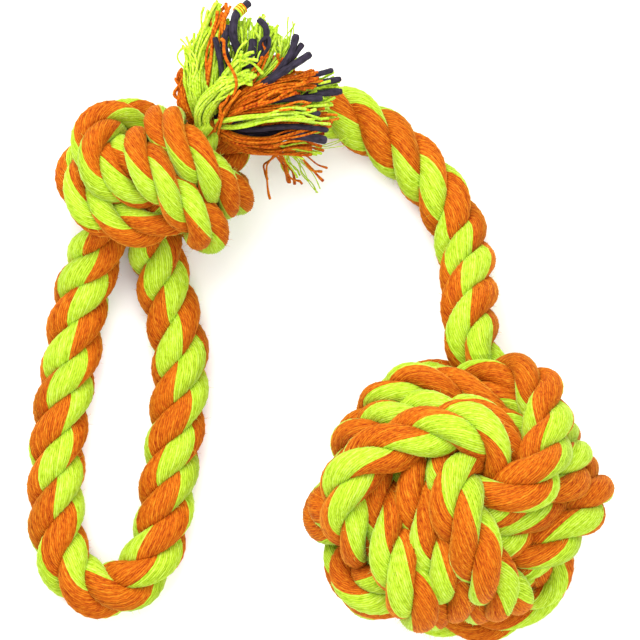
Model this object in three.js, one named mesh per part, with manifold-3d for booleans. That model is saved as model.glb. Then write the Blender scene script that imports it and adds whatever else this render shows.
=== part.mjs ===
// A throw and tug toy for dogs, tied from one length of three-strand cotton rope.
// One end of the rope is wound into a ball knot: three bands of turns, each round the next, on a filler core.
// The rope runs on from the ball to an overhand knot tied in the doubled rope, which closes a hand loop.
// Its other end stands out of that knot unlaid, as a tassel of three strands.
// The toy lies on a table. Millimetres, +Z up, origin on the table below the middle of the toy.

import * as THREE from 'three';
import Module from 'manifold-3d';
import { mergeVertices } from 'three/addons/utils/BufferGeometryUtils.js';

const { lerp, smoothstep, degToRad } = THREE.MathUtils;

// Rope: lying free, wound in the ball, and drawn tight in the overhand knot. Next to a knot it swells to its
// free thickness over the taper.
const ROPE_DIAMETER = 16.5;
const BALL_ROPE_DIAMETER = 11;
const KNOT_ROPE_DIAMETER = 10.4;
const TAPER_LENGTH = 14;
const FLAT_SHARE = 0.1;
const TABLE_REST = ROPE_DIAMETER * (0.5 - FLAT_SHARE);
const SPACE_ABOVE_TABLE = 400;
const TIGHTEST_BEND = 8.6;
const TURN_GAP = 0.7;
const SEAM_GAP = 0.3;
const ROPE_SIDES = 8;

// Ball knot: reach of a band's centreline from the ball's middle where it lies innermost and outermost.
// Quarters of a turn count from a band's outer pole, and offsets count turns from the middle of the band.
const CORE_DIAMETER = 26;
const CORE_CLEARANCE = 0.5;
const INNER_REACH = CORE_DIAMETER / 2 + CORE_CLEARANCE + BALL_ROPE_DIAMETER / 2;
const BAND_RISE = 1.333;
const OUTER_REACH = INNER_REACH + BAND_RISE * BALL_ROPE_DIAMETER;
const TURN_SPREAD = 1.217;
const TURN_PITCH = TURN_SPREAD * BALL_ROPE_DIAMETER;
const OVAL_POWER = 0.78;
const ROUNDING = 0.75;
const STEPS_PER_TURN = 24;
const FIRST_BAND = { quarters: [-1, 10.4], offsets: [1.3, -1.25] };
const SECOND_BAND = { quarters: [2.4, -9], offsets: [-1.25, 1.3] };
const THIRD_BAND = { quarters: [1.8, 13.3], offsets: [-1.3, 1.15] };
const CORE_SIDES = 12;
const CORE_RINGS = 8;

// Where the ball lies, and how it is turned: the corner is where its three bands meet under the eye.
// It is pressed shorter along Y.
const BALL_X = 38.4;
const BALL_Y = -51.8;
const BALL_Z = OUTER_REACH + BALL_ROPE_DIAMETER * (0.5 - FLAT_SHARE);
const BALL_CENTRE = new THREE.Vector3(BALL_X, BALL_Y, BALL_Z);
const BALL_CORNER = new THREE.Vector3(0.2, 0.37, 0.91).normalize();
const CORNER_TURN = degToRad(10);
const BALL_SHAPE = new THREE.Vector3(1.06, 0.82, 0.97);

// Where the rope runs between the ball and the tassel
const THROW_BALL_END = [
  [44, -10, 28.5],
  [43.2, -2, 24.5],
  [43, 7, 18.5],
];
const THROW_ROPE = [
  [42.5, 16, 12],
  [40.5, 25, TABLE_REST],
  [36.5, 33.5, TABLE_REST],
  [30.5, 41.5, TABLE_REST],
  [23.5, 48.5, TABLE_REST],
  [15, 55, TABLE_REST],
  [6.5, 59.5, TABLE_REST],
];
const THROW_KNOT_END = [
  [-2.5, 61.5, TABLE_REST],
  [-11, 60, 8],
  [-19, 55.5, 11],
];
const FIRST_PASS = [
  [-26.5, 47.5, 16.5],
  [-31.5, 39, 19.5],
  [-37, 31.5, 21.5],
  [-43.5, 27.5, 24],
  [-51.5, 26.5, 26],
  [-60, 29, 26],
  [-66, 35, 24],
  [-68.5, 43, 20.5],
  [-66, 49.5, 13.5],
  [-60, 48.5, 7.5],
  [-51, 41, 6.5],
  [-42.5, 32, 7],
  [-37, 25.5, 12],
  [-36.5, 23.5, 21.5],
  [-39.5, 29, 30],
  [-44, 38, 34],
  [-47.5, 45, 33],
  [-50.5, 51, 28],
  [-52, 52, 20.5],
  [-53, 46.5, 15.5],
  [-56, 38, 15.5],
];
const LOOP_LEFT_LEG = [
  [-60.5, 29, 14],
  [-63.2, 21, 11],
  [-66.3, 13.5, 8],
  [-69.3, 1.5, TABLE_REST],
];
const HAND_LOOP = [
  [-71, -10.5, TABLE_REST],
  [-73.5, -22.5, TABLE_REST],
  [-75, -34, TABLE_REST],
  [-75.5, -47, TABLE_REST],
  [-75.5, -58, TABLE_REST],
  [-73.8, -68, TABLE_REST],
  [-68.8, -75.5, TABLE_REST],
  [-61.3, -78.2, TABLE_REST],
  [-53.7, -75.5, TABLE_REST],
  [-48, -68, TABLE_REST],
  [-44.8, -58, TABLE_REST],
  [-43.3, -46, TABLE_REST],
  [-41.5, -34, TABLE_REST],
  [-40.2, -22, TABLE_REST],
];
const LOOP_RIGHT_LEG = [
  [-40, -9, TABLE_REST],
  [-42.5, 2.5, TABLE_REST],
  [-45.3, 13, 8],
  [-46.8, 21, 11],
  [-48, 29, 14],
];
const SECOND_PASS = [
  [-48, 38, 16.5],
  [-47, 47.5, 17.5],
  [-46, 55, 18.5],
  [-44, 59, 24],
  [-40.5, 56, 30],
  [-36.5, 48.5, 33],
  [-32, 41, 33],
  [-29, 35, 28.5],
  [-27.5, 33, 19.5],
  [-29.5, 37.5, 8.5],
  [-35, 45.5, 6.5],
  [-42.5, 55, 6.5],
  [-50, 60.5, 10.5],
  [-56.5, 60.5, 20.5],
  [-62, 56, 28],
  [-64.5, 48.5, 31],
  [-62.5, 40, 33],
  [-57, 35, 33.5],
  [-50.5, 33.5, 31.5],
  [-44, 36, 26],
  [-39.5, 41, 22.5],
  [-36, 47, 21.5],
];
const TAIL = [
  [-33, 53, 29],
  [-30, 57, 33],
];

// Tassel: yarn in drooping locks and thick filler cords, rooted side by side on the cut face of the tail
const YARN_STUB_RADIUS = 1.7;
const YARN_ROOT_RADIUS = 1.3;
const YARN_BELLY_RADIUS = 2.3;
const YARN_TIP_RADIUS = 0.8;
const FILLER_STUB_RADIUS = 1.4;
const FILLER_RADIUS = 1.1;
const STUB_LENGTH = 4;
const STRAND_SPACING = 3.8;
const YARN_SINK = 1.6;
const FILLER_RISE = 2;
const LOCK_RISE = 9;
const LOCK_RINGS = 6;
const LOCK_SIDES = 6;
const UP_YARN_TIPS = [
  [-39.7, 68.6, 33],
  [-38, 78.6, 34],
  [-33, 82.3, 36],
  [-28.6, 89.1, 35],
  [-23.7, 89.7, 34],
];
const UP_FILLER_TIPS = [
  [-29.4, 78.3, 42],
  [-20.3, 88.9, 41],
];
const MIDDLE_YARN_TIPS = [
  [-18, 83.4, 37],
  [-13.4, 85.7, 36],
  [-8.9, 80.6, 36],
  [-5.4, 75.7, 34],
];
const MIDDLE_FILLER_TIPS = [
  [-16, 84.9, 42],
  [-6, 80, 42],
  [-2.3, 74.3, 41],
];
const RIGHT_YARN_TIPS = [
  [-0.9, 69.1, 31],
  [3.1, 63.4, 29],
  [3.1, 57.7, 28],
  [2, 54.3, 27],
  [2, 46, 22],
  [-5.7, 38.3, 16],
  [-10, 36, 12],
  [-13, 41.4, 18],
];
const RIGHT_FILLER_TIPS = [
  [0.6, 62.9, 37],
  [2, 51.1, 34],
];

// Settling: the rope laid along its route is drawn tight while it grows to its full thickness
const POINT_STEP = 3;
const RING_STRIDE = 2;
const SETTLING_ROUNDS = 500;
const BALL_DRAW = 0.1;
const KNOT_DRAW = 0.08;
const LAST_DRAW_SHARE = 0.1;
const LAST_DRAW_FROM = 0.9;
const FIRST_THICKNESS = 0.6;
const FULL_THICKNESS_AT = 0.7;
const CONTACT_PASSES = 3;
const NEIGHBOURS_SKIPPED = 4;
const PAIR_REACH = 5;
const PAIR_REFRESH = 15;
const BEND_EASE = 0.95;
const SHARED_PUSH = 0.5;

// Colours of the cotton and how dull it is
const ROPE_COLOUR = 0xd2ac14;
const YARN_COLOUR = 0xb9eb19;
const FILLER_COLOUR = 0x322d3c;
const CORE_COLOUR = 0xe6dfcf;
const COTTON_ROUGHNESS = 0.9;

const wasm = await Module();
wasm.setup();

// The poles of the three bands: each band passes over its own pole and under the band of the next
function bandPoles() {
  const across = new THREE.Vector3(1, 0, 0).addScaledVector(BALL_CORNER, -BALL_CORNER.x).normalize();
  const up = new THREE.Vector3().crossVectors(BALL_CORNER, across);
  return [1, 0, 2].map((third) => {
    const angle = CORNER_TURN + (third * 2 * Math.PI) / 3;
    const pole = BALL_CORNER.clone().multiplyScalar(Math.sqrt(1 / 3));
    pole.addScaledVector(across, Math.sqrt(2 / 3) * Math.cos(angle));
    pole.addScaledVector(up, Math.sqrt(2 / 3) * Math.sin(angle));
    return pole;
  });
}

function ovalShare(value) {
  return Math.sign(value) * Math.abs(value) ** OVAL_POWER;
}

// One band: an oval round the outer and inner poles that moves along the band's width as it goes round
function bandRoute({ outer, inner, width, quarters, offsets }) {
  const steps = Math.round((Math.abs(quarters[1] - quarters[0]) * STEPS_PER_TURN) / 4);
  const points = [];
  for (let step = 0; step <= steps; step += 1) {
    const angle = (lerp(quarters[0], quarters[1], step / steps) * Math.PI) / 2;
    const along = TURN_PITCH * lerp(offsets[0], offsets[1], step / steps);
    const drawnIn = (ROUNDING * along) ** 2;
    const point = new THREE.Vector3();
    point.addScaledVector(outer, Math.sqrt(OUTER_REACH ** 2 - drawnIn) * ovalShare(Math.cos(angle)));
    point.addScaledVector(inner, Math.sqrt(INNER_REACH ** 2 - drawnIn) * ovalShare(Math.sin(angle)));
    point.addScaledVector(width, along);
    points.push(point.multiply(BALL_SHAPE).add(BALL_CENTRE));
  }
  return points;
}

const [poleA, poleB, poleC] = bandPoles();
const firstBand = bandRoute({ outer: poleA, inner: poleB, width: poleC, ...FIRST_BAND });
const secondBand = bandRoute({ outer: poleB, inner: poleC, width: poleA, ...SECOND_BAND });
const thirdBand = bandRoute({ outer: poleC, inner: poleA, width: poleB, ...THIRD_BAND });

function vectors(list) {
  return list.map((place) => new THREE.Vector3(...place));
}

// The rope's stretches in order. Those with a draw settle, the others stay on their route.
const ball = BALL_ROPE_DIAMETER;
const knot = KNOT_ROPE_DIAMETER;
const open = ROPE_DIAMETER;
const STRETCHES = [
  { node: 'ball_first_band', route: firstBand, diameters: [ball, ball], draw: BALL_DRAW, onCore: true },
  { node: 'ball_second_band', route: secondBand, diameters: [ball, ball], draw: BALL_DRAW, onCore: true },
  { node: 'ball_third_band', route: thirdBand, diameters: [ball, ball], draw: BALL_DRAW, onCore: true },
  { node: 'throw_ball_end', route: vectors(THROW_BALL_END), diameters: [ball, open] },
  { node: 'throw_rope', route: vectors(THROW_ROPE), diameters: [open, open] },
  { node: 'throw_knot_end', route: vectors(THROW_KNOT_END), diameters: [open, knot] },
  { node: 'knot_first_pass', route: vectors(FIRST_PASS), diameters: [knot, knot], draw: KNOT_DRAW },
  { node: 'loop_left_leg', route: vectors(LOOP_LEFT_LEG), diameters: [knot, open] },
  { node: 'hand_loop', route: vectors(HAND_LOOP), diameters: [open, open] },
  { node: 'loop_right_leg', route: vectors(LOOP_RIGHT_LEG), diameters: [open, knot] },
  { node: 'knot_second_pass', route: vectors(SECOND_PASS), diameters: [knot, knot], draw: KNOT_DRAW },
  { node: 'knot_second_pass', route: vectors(TAIL), diameters: [knot, knot] },
];

// The whole rope as points a few millimetres apart on one smooth curve
function layRope() {
  const control = STRETCHES.flatMap((stretch) => stretch.route);
  const curve = new THREE.CatmullRomCurve3(control, false, 'centripetal');
  const spans = control.length - 1;
  const points = [];
  let span = 0;
  STRETCHES.forEach((stretch) => {
    const own = [];
    stretch.route.forEach(() => {
      const to = control[Math.min(span + 1, spans)];
      const count = Math.max(1, Math.round(control[span].distanceTo(to) / POINT_STEP));
      for (let k = 0; k < count; k += 1) {
        own.push(curve.getPoint(Math.min(1, (span + k / count) / spans)));
      }
      span += 1;
    });
    const [first, last] = stretch.diameters;
    own.forEach((place, i) => {
      const fromKnot = first < last ? i : own.length - 1 - i;
      const swollen = smoothstep(fromKnot * POINT_STEP, 0, TAPER_LENGTH);
      const radius = lerp(Math.min(first, last), Math.max(first, last), swollen) / 2;
      points.push({ place, radius, stretch, settles: stretch.draw > 0 });
    });
  });
  return points;
}

function arcLengths(rope) {
  const arc = [0];
  for (let i = 1; i < rope.length; i += 1) {
    arc.push(arc[i - 1] + rope[i].place.distanceTo(rope[i - 1].place));
  }
  return arc;
}

function nearPairs(rope) {
  const pairs = [];
  for (let i = 0; i < rope.length; i += 1) {
    for (let j = i + NEIGHBOURS_SKIPPED; j < rope.length; j += 1) {
      const reach = rope[i].radius + rope[j].radius + TURN_GAP + PAIR_REACH;
      const loose = rope[i].settles || rope[j].settles;
      if (loose && rope[i].place.distanceToSquared(rope[j].place) < reach ** 2) pairs.push([i, j]);
    }
  }
  return pairs;
}

// Moves each point that settles toward the middle of its neighbours
function drawTight(rope, share) {
  const before = rope.map((point) => point.place.clone());
  for (let i = 1; i + 1 < rope.length; i += 1) {
    if (rope[i].settles) {
      const middle = before[i - 1].clone().lerp(before[i + 1], 0.5);
      rope[i].place.lerp(middle, share * rope[i].stretch.draw);
    }
  }
}

// The least distance allowed between two points: the rope's thickness, or less along one tight bend
function leastDistance(rope, i, j, run, thickness) {
  const full = thickness * (rope[i].radius + rope[j].radius + TURN_GAP);
  if (run > Math.PI * TIGHTEST_BEND) return full;
  const bent = Math.min(run, (j - i) * POINT_STEP) / (2 * TIGHTEST_BEND);
  return Math.min(full, BEND_EASE * 2 * TIGHTEST_BEND * Math.sin(bent));
}

function pushApart(rope, pairs, arc, thickness) {
  const moves = rope.map(() => new THREE.Vector3());
  const hits = rope.map(() => 0);
  const apart = new THREE.Vector3();
  pairs.forEach(([i, j]) => {
    apart.subVectors(rope[j].place, rope[i].place);
    const distance = apart.length();
    const short = leastDistance(rope, i, j, arc[j] - arc[i], thickness) - distance;
    if (short <= 0) return;
    const shared = rope[i].settles && rope[j].settles ? 0.5 : 1;
    const push = (shared * short) / distance;
    moves[i].addScaledVector(apart, -push);
    moves[j].addScaledVector(apart, push);
    hits[i] += 1;
    hits[j] += 1;
  });
  rope.forEach((point, i) => {
    if (point.settles) point.place.addScaledVector(moves[i], 1 / Math.max(1, SHARED_PUSH * hits[i]));
  });
}

// Keeps the rope on the table and outside the ball's core
function keepOut(rope) {
  rope.forEach((point) => {
    if (!point.settles) return;
    point.place.z = Math.max(point.place.z, 2 * point.radius * (0.5 - FLAT_SHARE));
    const distance = point.place.distanceTo(BALL_CENTRE);
    if (point.stretch.onCore && distance < INNER_REACH) {
      point.place.sub(BALL_CENTRE).multiplyScalar(INNER_REACH / distance).add(BALL_CENTRE);
    }
  });
}

function settle(rope) {
  let pairs = [];
  for (let round = 0; round < SETTLING_ROUNDS; round += 1) {
    const done = round / SETTLING_ROUNDS;
    if (round % PAIR_REFRESH === 0) pairs = nearPairs(rope);
    const arc = arcLengths(rope);
    drawTight(rope, done < LAST_DRAW_FROM ? 1 : LAST_DRAW_SHARE);
    const thickness = lerp(FIRST_THICKNESS, 1, Math.min(1, done / FULL_THICKNESS_AT));
    for (let pass = 0; pass < CONTACT_PASSES; pass += 1) {
      pushApart(rope, pairs, arc, thickness);
      keepOut(rope);
    }
  }
}

// The least gap of the rope to itself between points further apart along it than one tight bend
function leastGap(rope) {
  const arc = arcLengths(rope);
  let least = Infinity;
  for (let i = 0; i < rope.length; i += 1) {
    for (let j = i + 1; j < rope.length; j += 1) {
      if (arc[j] - arc[i] > Math.PI * TIGHTEST_BEND) {
        const gap = rope[i].place.distanceTo(rope[j].place) - rope[i].radius - rope[j].radius;
        least = Math.min(least, gap);
      }
    }
  }
  return least;
}

// Gives each point the direction of the rope and a side that turns with it as little as it can
function addDirections(rope) {
  const last = rope.length - 1;
  const side = new THREE.Vector3(0, 0, 1);
  rope.forEach((point, i) => {
    const before = rope[Math.max(0, i - 1)].place;
    const after = rope[Math.min(last, i + 1)].place;
    point.direction = after.clone().sub(before).normalize();
    side.addScaledVector(point.direction, -side.dot(point.direction)).normalize();
    point.side = side.clone();
  });
}

// A closed tube through rings, with flat ends
function tube(rings, sides) {
  const positions = [];
  rings.forEach((ring) => {
    const across = new THREE.Vector3().crossVectors(ring.direction, ring.side);
    for (let k = 0; k < sides; k += 1) {
      const angle = (2 * Math.PI * (k + 0.5)) / sides;
      const corner = ring.place.clone();
      corner.addScaledVector(ring.side, ring.radius * Math.cos(angle));
      corner.addScaledVector(across, ring.radius * Math.sin(angle));
      positions.push(...corner.toArray());
    }
  });
  const index = [];
  for (let i = 0; i + 1 < rings.length; i += 1) {
    for (let k = 0; k < sides; k += 1) {
      const a = i * sides + k;
      const b = i * sides + ((k + 1) % sides);
      index.push(a, b, b + sides, a, b + sides, a + sides);
    }
  }
  const end = (rings.length - 1) * sides;
  for (let k = 1; k + 1 < sides; k += 1) {
    index.push(0, k + 1, k);
    index.push(end, end + k, end + k + 1);
  }
  const geometry = new THREE.BufferGeometry();
  geometry.setAttribute('position', new THREE.Float32BufferAttribute(positions, 3));
  geometry.setIndex(index);
  return geometry;
}

function solidOf(geometry) {
  const bare = geometry.clone();
  bare.deleteAttribute('normal');
  bare.deleteAttribute('uv');
  const merged = mergeVertices(bare);
  return new wasm.Manifold(new wasm.Mesh({
    numProp: 3,
    vertProperties: new Float32Array(merged.attributes.position.array),
    triVerts: new Uint32Array(merged.index.array),
  }));
}

function geometryOf(solid) {
  const mesh = solid.getMesh();
  const geometry = new THREE.BufferGeometry();
  geometry.setAttribute('position', new THREE.Float32BufferAttribute(mesh.vertProperties, 3));
  geometry.setIndex(Array.from(mesh.triVerts));
  return geometry;
}

const toy = new THREE.Group();
toy.name = 'rope_dog_toy';

function addPart(name, geometry, color) {
  geometry.computeVertexNormals();
  const material = new THREE.MeshStandardMaterial({ color, roughness: COTTON_ROUGHNESS, metalness: 0 });
  const mesh = new THREE.Mesh(geometry, material);
  mesh.name = name;
  toy.add(mesh);
}

// Rope, laid and settled, then cut into its stretches, each pressed flat where it lies on the table
const rope = layRope();
settle(rope);
addDirections(rope);
console.log(`least gap of the rope to itself ${leastGap(rope).toFixed(2)} mm`);

const aboveTable = solidOf(
  new THREE.BoxGeometry(SPACE_ABOVE_TABLE, SPACE_ABOVE_TABLE, SPACE_ABOVE_TABLE)
    .translate(0, 0, SPACE_ABOVE_TABLE / 2),
);

function ropeNode(name) {
  const start = rope.findIndex((point) => point.stretch.node === name);
  const end = rope.findLastIndex((point) => point.stretch.node === name);
  const rings = [];
  for (let i = start; i < end; i += RING_STRIDE) rings.push(rope[i]);
  const next = rope[end + 1];
  if (next) {
    const place = next.place.clone().addScaledVector(next.direction, -SEAM_GAP);
    rings.push({ ...next, place });
  } else {
    rings.push(rope[end]);
  }
  const geometry = tube(rings, ROPE_SIDES);
  geometry.computeBoundingBox();
  if (geometry.boundingBox.min.z >= 0) return geometry;
  return geometryOf(solidOf(geometry).intersect(aboveTable));
}

const core = new THREE.SphereGeometry(CORE_DIAMETER / 2, CORE_SIDES, CORE_RINGS);
core.translate(BALL_X, BALL_Y, BALL_Z);
addPart('ball_core', geometryOf(solidOf(core)), CORE_COLOUR);
const ropeNodes = new Set(STRETCHES.map((stretch) => stretch.node));
ropeNodes.forEach((name) => addPart(name, ropeNode(name), ROPE_COLOUR));

// Tassel: each lock or cord rises off the cut face of the tail and droops to its tip
const tailEnd = rope[rope.length - 1];
const faceAcross = new THREE.Vector3(0, 0, 1).cross(tailEnd.direction).negate().normalize();
const faceUp = new THREE.Vector3().crossVectors(faceAcross, tailEnd.direction);

function lock(root, tip, radii) {
  const rise = root.clone().addScaledVector(tailEnd.direction, LOCK_RISE);
  const curve = new THREE.QuadraticBezierCurve3(root, rise, tip);
  const side = faceAcross.clone();
  const rings = [];
  for (let i = 0; i < LOCK_RINGS; i += 1) {
    const share = i / (LOCK_RINGS - 1);
    const direction = curve.getTangent(share);
    side.addScaledVector(direction, -side.dot(direction)).normalize();
    const toBelly = lerp(radii.root, radii.belly, Math.min(1, 2 * share));
    const radius = share < 0.5 ? toBelly : lerp(radii.belly, radii.tip, 2 * share - 1);
    rings.push({ place: curve.getPoint(share), direction, side: side.clone(), radius });
  }
  return solidOf(tube(rings, LOCK_SIDES));
}

// The locks of one strand stand in a short stub of it that is left laid
function tuft(strand, height, tips, radii) {
  const { direction } = tailEnd;
  const root = tailEnd.place.clone().addScaledVector(direction, SEAM_GAP);
  root.addScaledVector(faceAcross, strand * STRAND_SPACING);
  root.addScaledVector(faceUp, height);
  const stubEnd = root.clone().addScaledVector(direction, STUB_LENGTH);
  const ring = { direction, side: faceAcross, radius: radii.stub };
  const stub = solidOf(tube([{ ...ring, place: root }, { ...ring, place: stubEnd }], LOCK_SIDES));
  const foot = root.clone().lerp(stubEnd, 0.5);
  const locks = vectors(tips).map((tip) => lock(foot, tip, radii));
  return geometryOf(locks.reduce((whole, next) => whole.add(next), stub));
}

const yarnRadii = {
  stub: YARN_STUB_RADIUS, root: YARN_ROOT_RADIUS, belly: YARN_BELLY_RADIUS, tip: YARN_TIP_RADIUS,
};
const fillerRadii = {
  stub: FILLER_STUB_RADIUS, root: FILLER_RADIUS, belly: FILLER_RADIUS, tip: FILLER_RADIUS,
};
addPart('tassel_up_yarn', tuft(-1, -YARN_SINK, UP_YARN_TIPS, yarnRadii), YARN_COLOUR);
addPart('tassel_up_filler', tuft(-1, FILLER_RISE, UP_FILLER_TIPS, fillerRadii), FILLER_COLOUR);
addPart('tassel_middle_yarn', tuft(0, -YARN_SINK, MIDDLE_YARN_TIPS, yarnRadii), YARN_COLOUR);
addPart('tassel_middle_filler', tuft(0, FILLER_RISE, MIDDLE_FILLER_TIPS, fillerRadii), FILLER_COLOUR);
addPart('tassel_right_yarn', tuft(1, -YARN_SINK, RIGHT_YARN_TIPS, yarnRadii), YARN_COLOUR);
addPart('tassel_right_filler', tuft(1, FILLER_RISE, RIGHT_FILLER_TIPS, fillerRadii), FILLER_COLOUR);

export default toy;
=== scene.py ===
"""The looks of a rope dog toy: a ball knot on a throw rope, an overhand knot with a hand loop, and a tassel.
Metres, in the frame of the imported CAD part. The toy lies on a table and is seen from straight above."""

import math

import bpy
import numpy as np
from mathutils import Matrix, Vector


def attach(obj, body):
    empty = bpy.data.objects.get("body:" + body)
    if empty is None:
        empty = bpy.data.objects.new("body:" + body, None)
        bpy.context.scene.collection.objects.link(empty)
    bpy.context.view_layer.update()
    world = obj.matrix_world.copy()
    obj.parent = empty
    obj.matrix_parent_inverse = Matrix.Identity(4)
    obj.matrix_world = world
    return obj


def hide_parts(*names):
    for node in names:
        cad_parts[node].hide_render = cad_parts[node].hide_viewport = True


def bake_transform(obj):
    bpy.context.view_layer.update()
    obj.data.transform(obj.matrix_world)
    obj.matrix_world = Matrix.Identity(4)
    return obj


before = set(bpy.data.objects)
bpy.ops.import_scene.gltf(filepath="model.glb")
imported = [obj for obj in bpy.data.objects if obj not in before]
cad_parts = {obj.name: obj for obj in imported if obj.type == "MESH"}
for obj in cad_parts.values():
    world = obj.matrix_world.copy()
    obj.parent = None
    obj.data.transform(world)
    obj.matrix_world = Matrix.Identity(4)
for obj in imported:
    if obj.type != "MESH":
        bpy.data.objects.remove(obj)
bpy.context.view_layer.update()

# Studio: a white painted table, seen from straight above by a long lens, in soft even light from all round.
# The picture is FRAME_WIDTH wide at FRAME_HEIGHT above the table, which is about the top of the rope.
FRAME_WIDTH = 0.1829
FRAME_HEIGHT = 0.02
FRAME_MIDDLE = 0.0003
CAMERA_HEIGHT = 2.2
SENSOR_WIDTH = 36
LAMP_SIZE = 1.3
TABLE_REACH = 3
TABLE_DROP = 0.0002
TABLE_GRAIN = 0.0067
camera_data = bpy.data.cameras.new("camera")
camera_data.sensor_width = SENSOR_WIDTH
camera_data.lens = SENSOR_WIDTH * (CAMERA_HEIGHT - FRAME_HEIGHT) / FRAME_WIDTH
camera_data.clip_start = 0.1
camera_data.clip_end = 20
camera = bpy.data.objects.new("camera", camera_data)
camera.location = (FRAME_MIDDLE, 0, CAMERA_HEIGHT)
bpy.context.scene.collection.objects.link(camera)
bpy.context.scene.camera = camera
bpy.context.scene.view_settings.view_transform = "Standard"


def linear(colour):
    """An sRGB colour such as "B9EB19" as linear red, green, blue and alpha."""
    shares = [int(colour[i:i + 2], 16) / 255 for i in (0, 2, 4)]
    return [c / 12.92 if c <= 0.04045 else ((c + 0.055) / 1.055) ** 2.4 for c in shares] + [1]


def node(tree, kind, settings=None, links=None, stops=()):
    """Adds a shader node, sets its properties and sockets, links sockets from other nodes' outputs, and gives
    a colour ramp its stops, each a place and a colour."""
    made = tree.nodes.new(kind)
    for key, value in (settings or {}).items():
        if isinstance(key, str) and hasattr(made, key):
            setattr(made, key, value)
        else:
            made.inputs[key].default_value = value
    for key, output in (links or {}).items():
        tree.links.new(output, made.inputs[key])
    for _ in stops[2:]:
        made.color_ramp.elements.new(0.5)
    for number, (place, colour) in enumerate(stops):
        made.color_ramp.elements[number].position = place
        made.color_ramp.elements[number].color = linear(colour)
    return made


def material(name):
    """An empty material and its node tree."""
    made = bpy.data.materials.new(name)
    made.use_nodes = True
    made.node_tree.nodes.clear()
    return made, made.node_tree


def soft_lamp(name, place, power):
    """A round lamp that is aimed at the toy."""
    light = bpy.data.lights.new(name, "AREA")
    light.shape = "DISK"
    light.size = LAMP_SIZE
    light.energy = power
    made = bpy.data.objects.new(name, light)
    made.location = place
    made.rotation_euler = (-Vector(place)).to_track_quat("-Z", "Y").to_euler()
    bpy.context.scene.collection.objects.link(made)


soft_lamp("key_light", place=(-0.35, 0.85, 1.05), power=24)
soft_lamp("fill_light", place=(0.5, -0.7, 1.1), power=10.5)

world = bpy.data.worlds.new("studio")
bpy.context.scene.world = world
world.use_nodes = True
world.node_tree.nodes.clear()
sky = node(world.node_tree, "ShaderNodeBackground", {"Color": linear("FFFFFF"), "Strength": 1.0})
node(world.node_tree, "ShaderNodeOutputWorld", links={0: sky.outputs[0]})

# White table paint: matt, with a grain so faint that the eye takes it for plain white
table_material, tree = material("white_table")
grain = node(tree, "ShaderNodeTexNoise", {"Scale": 2 * TABLE_REACH / TABLE_GRAIN, "Detail": 3.0})
whites = node(tree, "ShaderNodeMix", {"data_type": "RGBA", 6: linear("FBFBFB"), 7: linear("FFFFFF")},
              {0: grain.outputs[0]})
paint = node(tree, "ShaderNodeBsdfPrincipled", {"Roughness": 0.7, "Specular IOR Level": 0.1},
             {"Base Color": whites.outputs[2]})
node(tree, "ShaderNodeOutputMaterial", links={0: paint.outputs[0]})
corners = [(x * TABLE_REACH, y * TABLE_REACH, 0) for x, y in ((-1, -1), (1, -1), (1, 1), (-1, 1))]
table_mesh = bpy.data.meshes.new("table")
table_mesh.from_pydata(corners, [], [(0, 1, 2, 3)])
table_mesh.materials.append(table_material)
table = bpy.data.objects.new("table", table_mesh)
table.location.z = -TABLE_DROP
bpy.context.scene.collection.objects.link(table)

# Rope: one length of right-hand laid cotton rope of three strands. It is wound on a core into the ball, led
# to an overhand knot tied in the doubled rope, round the hand loop, back through the knot, and unlaid at its
# end. Its course is laid along a route and drawn tight, as in the CAD source.

# Diameters of the rope's solids, the share of one that is pressed flat on the table, and how the rope bends
# and tapers
ROPE = 0.0165
BALL_ROPE = 0.011
KNOT_ROPE = 0.0104
FLAT_SHARE = 0.1
REST = ROPE * (0.5 - FLAT_SHARE)
TIGHTEST_BEND = 0.0086
TURN_GAP = 0.0007
POINT_STEP = 0.003
TAPER = 0.014

# The ball's bands: how far out their turns run over the core and over each other, how wide they spread, and
# the corner at which the three bands meet
CORE_RADIUS = 0.013
CORE_CLEARANCE = 0.0005
BAND_RISE = 1.333
TURN_SPREAD = 1.217
INNER_REACH = CORE_RADIUS + CORE_CLEARANCE + BALL_ROPE / 2
OUTER_REACH = INNER_REACH + BAND_RISE * BALL_ROPE
TURN_PITCH = TURN_SPREAD * BALL_ROPE
OVAL_POWER = 0.78
ROUNDING = 0.75
STEPS_PER_QUARTER = 6
BALL_CORNER = (0.2, 0.37, 0.91)
CORNER_TURN = math.radians(10)
BALL_SHAPE = np.array((1.06, 0.82, 0.97))
BALL_CENTRE = np.array((0.0384, -0.0518, OUTER_REACH + BALL_ROPE * (0.5 - FLAT_SHARE)))

# Drawing tight: the rope starts thin and grows as it is drawn, and the last rounds draw it less
SETTLING_ROUNDS = 500
PAIR_REFRESH = 15
PAIR_REACH = 0.005
NEIGHBOURS = 4
FIRST_THICKNESS = 0.6
FULL_THICKNESS_AT = 0.7
LAST_DRAW_FROM = 0.9
LAST_DRAW_SHARE = 0.1
CONTACT_PASSES = 3
BEND_SLACK = 0.95
BALL_DRAW = 0.1
KNOT_DRAW = 0.08

# The rope as it looks: its diameter and lay in the ball, free, in the knot, and where it is unlaid
BALL_LOOK = 0.0152
KNOT_LOOK = 0.0132
UNLAID_LOOK = 0.0075
BALL_LAY = 0.0399
KNOT_LAY = 0.0364
ROPE_LAY = 0.0345
START_TURN = 0.16
RING_STEP = 0.0015
LINE_SMOOTHING = 4
LOOK_SMOOTHING = 12

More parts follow.
